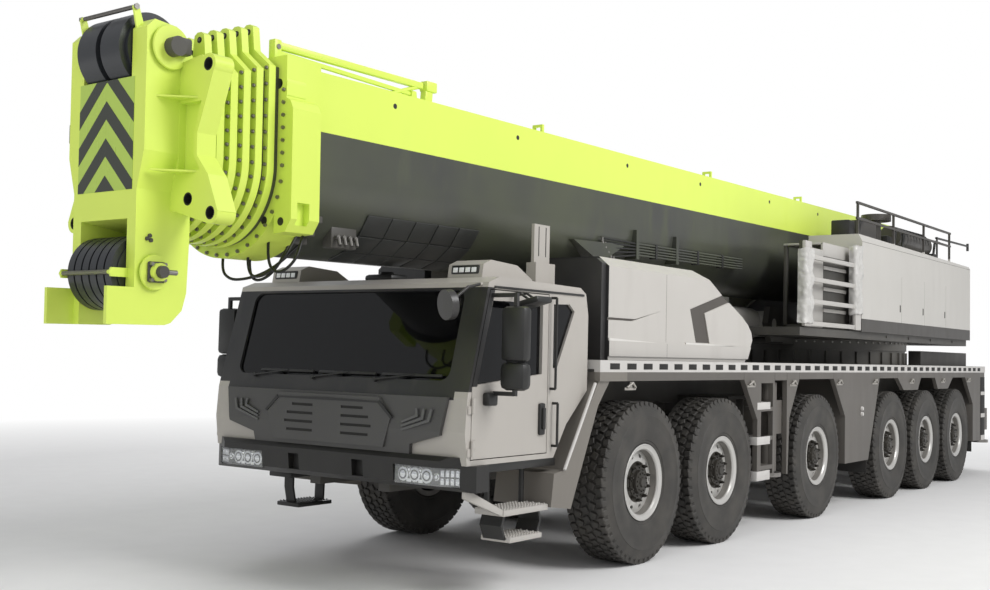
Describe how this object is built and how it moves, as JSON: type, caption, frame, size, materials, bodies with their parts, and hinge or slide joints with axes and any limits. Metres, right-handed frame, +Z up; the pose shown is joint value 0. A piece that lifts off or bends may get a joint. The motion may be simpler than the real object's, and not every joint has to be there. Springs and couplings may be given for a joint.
{
  "type": "mobile crane",
  "caption": "All-terrain mobile crane: telescopic boom over a long carrier, with slewing house, tilting cab, outriggers, steered axles and opening doors.",
  "frame": {"origin": "on the ground, midway between the foremost and rearmost points, on the centre line", "axes": "+X forwards, +Y to the left side of the vehicle, +Z up"},
  "size_m": [18.0422, 3.44, 4.2375],
  "materials": {
    "frame_paint": "satin",
    "pale_paint": "satin",
    "lime_paint": "gloss",
    "boom_grey": "satin",
    "deck_strip": "satin",
    "cast": "matt",
    "dark_plastic": "moulded",
    "glass": "tinted",
    "tyre": "matt",
    "chrome": "polished",
    "steel": "machined"
  },
  "bodies": {
    "carrier": {"chassis_frame": "frame_paint", "engine_block": "cast", "axle_beams": "cast", "deck": "deck_strip", "side_skirts": "frame_paint", "driver_cab": "pale_paint", "cab_glass": "glass", "front_bumper": "dark_plastic", "cab_steps": "steel", "engine_housing": "pale_paint"},
    "superstructure": {"turntable": "frame_paint", "machinery_house": "pale_paint", "access_stairs": "pale_paint"},
    "crane_cab": {"crane_cab": "pale_paint", "crane_cab_glass": "glass"},
    "crane_cab_door": {"crane_cab_door": "pale_paint"},
    "boom_base": {"boom_base": "lime_paint"},
    "lift_barrel": {"lift_cylinder_barrel": "pale_paint"},
    "lift_rod": {"lift_cylinder_rod": "chrome"},
    "winch": {"hoist_winch": "steel"},
    "upper_sheaves": {"upper_sheaves": "dark_plastic"},
    "lower_sheaves": {"lower_sheaves": "dark_plastic"},
    "door_left": {"door_left": "pale_paint"},
    "door_right": {"door_right": "pale_paint"},
    "boom_section_2": {"boom_section_2": "lime_paint"},
    "boom_section_3": {"boom_section_3": "lime_paint"},
    "boom_section_4": {"boom_section_4": "lime_paint"},
    "boom_section_5": {"boom_section_5": "lime_paint"},
    "boom_section_6": {"boom_section_6": "lime_paint"},
    "boom_head": {"boom_section_7_head": "lime_paint"},
    "knuckle_1_left": {"knuckle_1_left": "cast"},
    "knuckle_1_right": {"knuckle_1_right": "cast"},
    "knuckle_2_left": {"knuckle_2_left": "cast"},
    "knuckle_2_right": {"knuckle_2_right": "cast"},
    "knuckle_3_left": {"knuckle_3_left": "cast"},
    "knuckle_3_right": {"knuckle_3_right": "cast"},
    "knuckle_5_left": {"knuckle_5_left": "cast"},
    "knuckle_5_right": {"knuckle_5_right": "cast"},
    "knuckle_6_left": {"knuckle_6_left": "cast"},
    "knuckle_6_right": {"knuckle_6_right": "cast"},
    "wheel_1_left": {"wheel_1_left": "tyre"},
    "wheel_1_right": {"wheel_1_right": "tyre"},
    "wheel_2_left": {"wheel_2_left": "tyre"},
    "wheel_2_right": {"wheel_2_right": "tyre"},
    "wheel_3_left": {"wheel_3_left": "tyre"},
    "wheel_3_right": {"wheel_3_right": "tyre"},
    "wheel_4_left": {"wheel_4_left": "tyre"},
    "wheel_4_right": {"wheel_4_right": "tyre"},
    "wheel_5_left": {"wheel_5_left": "tyre"},
    "wheel_5_right": {"wheel_5_right": "tyre"},
    "wheel_6_left": {"wheel_6_left": "tyre"},
    "wheel_6_right": {"wheel_6_right": "tyre"},
    "outrigger_beam_front_right": {"outrigger_beam_front_right": "frame_paint"},
    "outrigger_jack_front_right": {"outrigger_jack_front_right": "steel"},
    "outrigger_beam_front_left": {"outrigger_beam_front_left": "frame_paint"},
    "outrigger_jack_front_left": {"outrigger_jack_front_left": "steel"},
    "outrigger_beam_rear_left": {"outrigger_beam_rear_left": "frame_paint"},
    "outrigger_jack_rear_left": {"outrigger_jack_rear_left": "steel"},
    "outrigger_beam_rear_right": {"outrigger_beam_rear_right": "frame_paint"},
    "outrigger_jack_rear_right": {"outrigger_jack_rear_right": "steel"}
  },
  "joints": [
    {"name": "steer_1_left", "type": "hinge", "parent": "carrier", "child": "knuckle_1_left", "pos_m": [3.97891, 1.14, 0.745], "axis": [0, 0, 1], "range_deg": [-30, 30]},
    {"name": "steer_1_right", "type": "hinge", "parent": "carrier", "child": "knuckle_1_right", "pos_m": [3.97891, -1.14, 0.745], "axis": [0, 0, 1], "range_deg": [-30, 30]},
    {"name": "steer_2_left", "type": "hinge", "parent": "carrier", "child": "knuckle_2_left", "pos_m": [2.32891, 1.14, 0.745], "axis": [0, 0, 1], "range_deg": [-24, 24]},
    {"name": "steer_2_right", "type": "hinge", "parent": "carrier", "child": "knuckle_2_right", "pos_m": [2.32891, -1.14, 0.745], "axis": [0, 0, 1], "range_deg": [-24, 24]},
    {"name": "steer_3_left", "type": "hinge", "parent": "carrier", "child": "knuckle_3_left", "pos_m": [-0.32109, 1.14, 0.745], "axis": [0, 0, 1], "range_deg": [-12, 12]},
    {"name": "steer_3_right", "type": "hinge", "parent": "carrier", "child": "knuckle_3_right", "pos_m": [-0.32109, -1.14, 0.745], "axis": [0, 0, 1], "range_deg": [-12, 12]},
    {"name": "steer_5_left", "type": "hinge", "parent": "carrier", "child": "knuckle_5_left", "pos_m": [-4.77109, 1.14, 0.745], "axis": [0, 0, 1], "range_deg": [-14, 14]},
    {"name": "steer_5_right", "type": "hinge", "parent": "carrier", "child": "knuckle_5_right", "pos_m": [-4.77109, -1.14, 0.745], "axis": [0, 0, 1], "range_deg": [-14, 14]},
    {"name": "steer_6_left", "type": "hinge", "parent": "carrier", "child": "knuckle_6_left", "pos_m": [-6.42109, 1.14, 0.745], "axis": [0, 0, 1], "range_deg": [-20, 20]},
    {"name": "steer_6_right", "type": "hinge", "parent": "carrier", "child": "knuckle_6_right", "pos_m": [-6.42109, -1.14, 0.745], "axis": [0, 0, 1], "range_deg": [-20, 20]},
    {"name": "spin_1_left", "type": "hinge", "parent": "knuckle_1_left", "child": "wheel_1_left", "pos_m": [3.97891, 1.27, 0.745], "axis": [0, 1, 0], "continuous": true},
    {"name": "spin_1_right", "type": "hinge", "parent": "knuckle_1_right", "child": "wheel_1_right", "pos_m": [3.97891, -1.27, 0.745], "axis": [0, 1, 0], "continuous": true},
    {"name": "spin_2_left", "type": "hinge", "parent": "knuckle_2_left", "child": "wheel_2_left", "pos_m": [2.32891, 1.27, 0.745], "axis": [0, 1, 0], "continuous": true},
    {"name": "spin_2_right", "type": "hinge", "parent": "knuckle_2_right", "child": "wheel_2_right", "pos_m": [2.32891, -1.27, 0.745], "axis": [0, 1, 0], "continuous": true},
    {"name": "spin_3_left", "type": "hinge", "parent": "knuckle_3_left", "child": "wheel_3_left", "pos_m": [-0.32109, 1.27, 0.745], "axis": [0, 1, 0], "continuous": true},
    {"name": "spin_3_right", "type": "hinge", "parent": "knuckle_3_right", "child": "wheel_3_right", "pos_m": [-0.32109, -1.27, 0.745], "axis": [0, 1, 0], "continuous": true},
    {"name": "spin_4_left", "type": "hinge", "parent": "carrier", "child": "wheel_4_left", "pos_m": [-3.12109, 1.27, 0.745], "axis": [0, 1, 0], "continuous": true},
    {"name": "spin_4_right", "type": "hinge", "parent": "carrier", "child": "wheel_4_right", "pos_m": [-3.12109, -1.27, 0.745], "axis": [0, 1, 0], "continuous": true},
    {"name": "spin_5_left", "type": "hinge", "parent": "knuckle_5_left", "child": "wheel_5_left", "pos_m": [-4.77109, 1.27, 0.745], "axis": [0, 1, 0], "continuous": true},
    {"name": "spin_5_right", "type": "hinge", "parent": "knuckle_5_right", "child": "wheel_5_right", "pos_m": [-4.77109, -1.27, 0.745], "axis": [0, 1, 0], "continuous": true},
    {"name": "spin_6_left", "type": "hinge", "parent": "knuckle_6_left", "child": "wheel_6_left", "pos_m": [-6.42109, 1.27, 0.745], "axis": [0, 1, 0], "continuous": true},
    {"name": "spin_6_right", "type": "hinge", "parent": "knuckle_6_right", "child": "wheel_6_right", "pos_m": [-6.42109, -1.27, 0.745], "axis": [0, 1, 0], "continuous": true},
    {"name": "beam_front_right", "type": "slide", "parent": "carrier", "child": "outrigger_beam_front_right", "axis": [0, -1, 0], "range_m": [0, 1.85]},
    {"name": "jack_front_right", "type": "slide", "parent": "outrigger_beam_front_right", "child": "outrigger_jack_front_right", "axis": [0, 0, -1], "range_m": [0, 0.6]},
    {"name": "beam_front_left", "type": "slide", "parent": "carrier", "child": "outrigger_beam_front_left", "axis": [0, 1, 0], "range_m": [0, 1.85]},
    {"name": "jack_front_left", "type": "slide", "parent": "outrigger_beam_front_left", "child": "outrigger_jack_front_left", "axis": [0, 0, -1], "range_m": [0, 0.6]},
    {"name": "beam_rear_left", "type": "slide", "parent": "carrier", "child": "outrigger_beam_rear_left", "axis": [0, 1, 0], "range_m": [0, 1.85]},
    {"name": "jack_rear_left", "type": "slide", "parent": "outrigger_beam_rear_left", "child": "outrigger_jack_rear_left", "axis": [0, 0, -1], "range_m": [0, 0.6]},
    {"name": "beam_rear_right", "type": "slide", "parent": "carrier", "child": "outrigger_beam_rear_right", "axis": [0, -1, 0], "range_m": [0, 1.85]},
    {"name": "jack_rear_right", "type": "slide", "parent": "outrigger_beam_rear_right", "child": "outrigger_jack_rear_right", "axis": [0, 0, -1], "range_m": [0, 0.6]},
    {"name": "driver_door_left", "type": "hinge", "parent": "carrier", "child": "door_left", "pos_m": [6.53491, 1.416, 1.5], "axis": [0, 0, -1], "range_deg": [0, 75]},
    {"name": "driver_door_right", "type": "hinge", "parent": "carrier", "child": "door_right", "pos_m": [6.53491, -1.416, 1.5], "axis": [0, 0, 1], "range_deg": [0, 75]},
    {"name": "slew", "type": "hinge", "parent": "carrier", "child": "superstructure", "pos_m": [-3.72109, 0, 2.065], "axis": [0, 0, 1], "continuous": true},
    {"name": "luff", "type": "hinge", "parent": "superstructure", "child": "boom_base", "pos_m": [-5.72109, 0, 3.3], "axis": [0, -1, 0], "range_deg": [0, 82.8]},
    {"name": "lift_cylinder_swing", "type": "hinge", "parent": "superstructure", "child": "lift_barrel", "pos_m": [-1.62109, 0, 2.39], "axis": [0, -1, 0], "range_deg": [0, 100.17]},
    {"name": "lift_cylinder_stroke", "type": "slide", "parent": "lift_barrel", "child": "lift_rod", "axis": [1, 0, 0.0059], "range_m": [0, 5.0044]},
    {"name": "telescope_1", "type": "slide", "parent": "boom_base", "child": "boom_section_2", "axis": [0.9999, 0, -0.014], "range_m": [0, 10.8]},
    {"name": "telescope_2", "type": "slide", "parent": "boom_section_2", "child": "boom_section_3", "axis": [0.9999, 0, -0.014], "range_m": [0, 10.8]},
    {"name": "telescope_3", "type": "slide", "parent": "boom_section_3", "child": "boom_section_4", "axis": [0.9999, 0, -0.014], "range_m": [0, 10.8]},
    {"name": "telescope_4", "type": "slide", "parent": "boom_section_4", "child": "boom_section_5", "axis": [0.9999, 0, -0.014], "range_m": [0, 10.8]},
    {"name": "telescope_5", "type": "slide", "parent": "boom_section_5", "child": "boom_section_6", "axis": [0.9999, 0, -0.014], "range_m": [0, 10.8]},
    {"name": "telescope_6", "type": "slide", "parent": "boom_section_6", "child": "boom_head", "axis": [0.9999, 0, -0.014], "range_m": [0, 10.8]},
    {"name": "upper_sheaves_spin", "type": "hinge", "parent": "boom_head", "child": "upper_sheaves", "pos_m": [8.65854, 0, 3.88929], "axis": [0, 1, 0], "continuous": true},
    {"name": "lower_sheaves_spin", "type": "hinge", "parent": "boom_head", "child": "lower_sheaves", "pos_m": [8.67256, 0, 2.38694], "axis": [0, 1, 0], "continuous": true},
    {"name": "winch_spin", "type": "hinge", "parent": "superstructure", "child": "winch", "pos_m": [-6.84109, 0, 2.8], "axis": [0, 1, 0], "continuous": true},
    {"name": "crane_cab_tilt", "type": "hinge", "parent": "superstructure", "child": "crane_cab", "pos_m": [-1.62109, -1, 2.38], "axis": [0, -1, 0], "range_deg": [0, 20]},
    {"name": "crane_cab_door_slide", "type": "slide", "parent": "crane_cab", "child": "crane_cab_door", "axis": [-1, 0, 0], "range_m": [0, 0.65]}
  ],
  "couplings": [
    {"joint": "steer_1_right", "follows": "steer_1_left", "ratio": 1},
    {"joint": "steer_2_left", "follows": "steer_1_left", "ratio": 0.8},
    {"joint": "steer_2_right", "follows": "steer_1_left", "ratio": 0.8},
    {"joint": "steer_3_left", "follows": "steer_1_left", "ratio": 0.4},
    {"joint": "steer_3_right", "follows": "steer_1_left", "ratio": 0.4},
    {"joint": "steer_5_left", "follows": "steer_1_left", "ratio": -0.46667},
    {"joint": "steer_5_right", "follows": "steer_1_left", "ratio": -0.46667},
    {"joint": "steer_6_left", "follows": "steer_1_left", "ratio": -0.66667},
    {"joint": "steer_6_right", "follows": "steer_1_left", "ratio": -0.66667},
    {"joint": "lift_cylinder_swing", "follows": "luff", "ratio": 1.2091},
    {"joint": "lift_cylinder_stroke", "follows": "luff", "m_per_rad": 3.4616}
  ]
}
